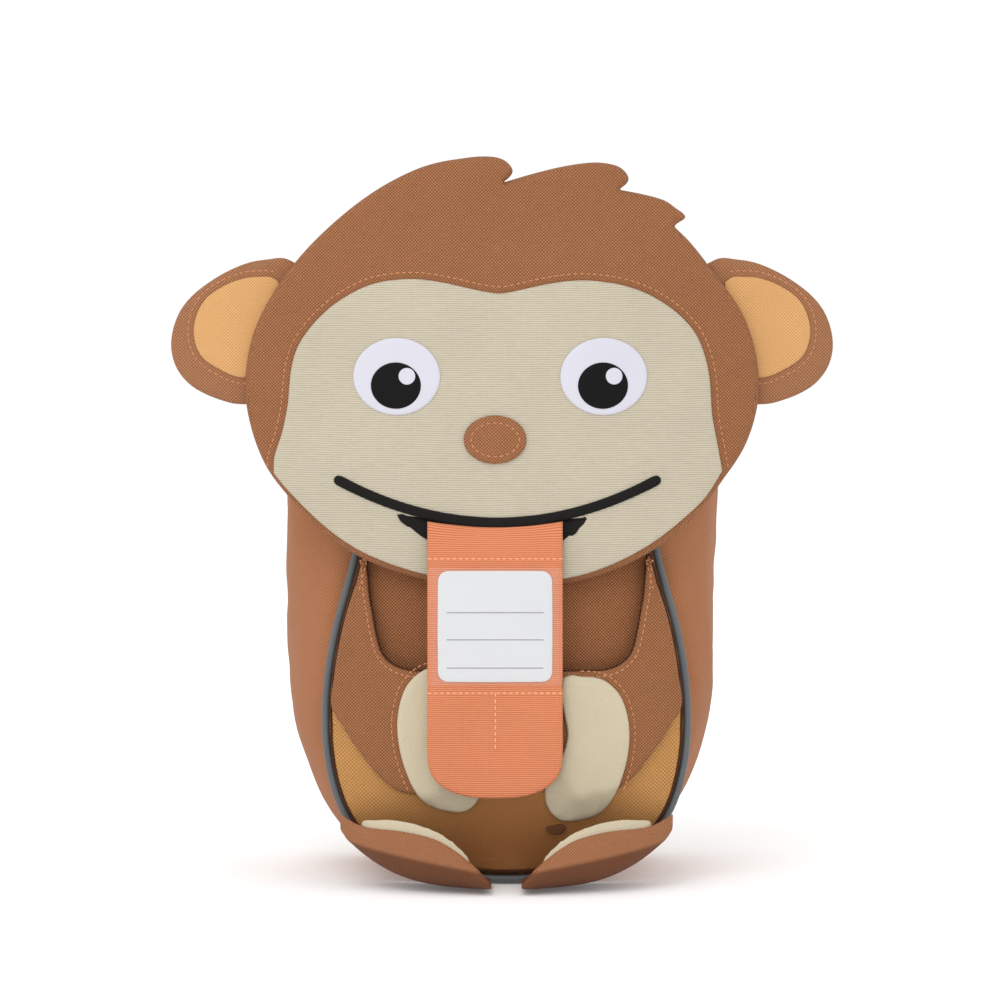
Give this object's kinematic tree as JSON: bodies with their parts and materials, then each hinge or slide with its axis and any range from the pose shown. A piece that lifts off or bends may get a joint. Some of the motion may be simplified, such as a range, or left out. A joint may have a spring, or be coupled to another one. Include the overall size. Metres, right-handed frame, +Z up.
{
  "type": "kids backpack",
  "caption": "Small toddler backpack in the form of a plain monkey, with a padded head flap, a tongue name tag, a front pocket and shoulder straps.",
  "frame": {"origin": "middle of the bounding box across and in depth, at the height of the bag's flat base", "axes": "+Z up, the face looks along -Y, the straps are on the +Y side and +X is to the right as seen from the front"},
  "size_m": [0.2394, 0.1518, 0.2633],
  "materials": {
    "bag_shell": "plain-woven brown polyester canvas",
    "lid_roof": "plain-woven brown polyester canvas",
    "front_panel": "plain-woven brown canvas",
    "pocket_belly": "tan plain-woven cloth",
    "arm_left": "plain-woven brown canvas",
    "arm_right": "plain-woven brown canvas",
    "hand_left": "pressed cream felt",
    "hand_right": "pressed cream felt",
    "piping": "smooth grey piping over a round cord",
    "foot_left": "plain-woven brown canvas",
    "foot_right": "plain-woven brown canvas",
    "foot_felt_left": "pressed cream felt",
    "foot_felt_right": "pressed cream felt",
    "head_flap": "padded plain-woven brown canvas",
    "ear_left": "padded plain-woven brown canvas",
    "ear_right": "padded plain-woven brown canvas",
    "ear_inner_left": "tan plain-woven cloth",
    "ear_inner_right": "tan plain-woven cloth",
    "face_patch": "cream ribbed canvas",
    "eye_left": "white satin print",
    "eye_right": "white satin print",
    "glint_left": "white satin print",
    "glint_right": "white satin print",
    "pupil_left": "black satin print",
    "pupil_right": "black satin print",
    "nose": "plain-woven brown canvas",
    "mouth_band": "black twill tape",
    "closure_patch": "short looped pile",
    "tongue": "coral ribbed cloth",
    "name_card": "smooth white card",
    "card_window": "thin clear glossy film",
    "back_panel": "brown spacer mesh",
    "shoulder_strap_left": "padded brown canvas",
    "shoulder_strap_right": "padded brown canvas",
    "strap_webbing_left": "ribbed brown webbing",
    "strap_webbing_right": "ribbed brown webbing",
    "grab_loop": "ribbed brown webbing",
    "strap_buckle_left": "moulded dark brown plastic",
    "strap_buckle_right": "moulded dark brown plastic"
  },
  "bodies": {
    "root": {"bag_shell": "bag_shell", "lid_roof": "lid_roof", "front_panel": "front_panel", "pocket_belly": "pocket_belly", "arm_left": "arm_left", "arm_right": "arm_right", "hand_left": "hand_left", "hand_right": "hand_right", "piping": "piping", "foot_left": "foot_left", "foot_right": "foot_right", "foot_felt_left": "foot_felt_left", "foot_felt_right": "foot_felt_right", "head_flap": "head_flap", "ear_left": "ear_left", "ear_right": "ear_right", "ear_inner_left": "ear_inner_left", "ear_inner_right": "ear_inner_right", "face_patch": "face_patch", "eye_left": "eye_left", "eye_right": "eye_right", "glint_left": "glint_left", "glint_right": "glint_right", "pupil_left": "pupil_left", "pupil_right": "pupil_right", "nose": "nose", "mouth_band": "mouth_band", "closure_patch": "closure_patch", "tongue": "tongue", "name_card": "name_card", "card_window": "card_window", "back_panel": "back_panel", "shoulder_strap_left": "shoulder_strap_left", "shoulder_strap_right": "shoulder_strap_right", "strap_webbing_left": "strap_webbing_left", "strap_webbing_right": "strap_webbing_right", "grab_loop": "grab_loop", "strap_buckle_left": "strap_buckle_left", "strap_buckle_right": "strap_buckle_right"}
  },
  "joints": []
}
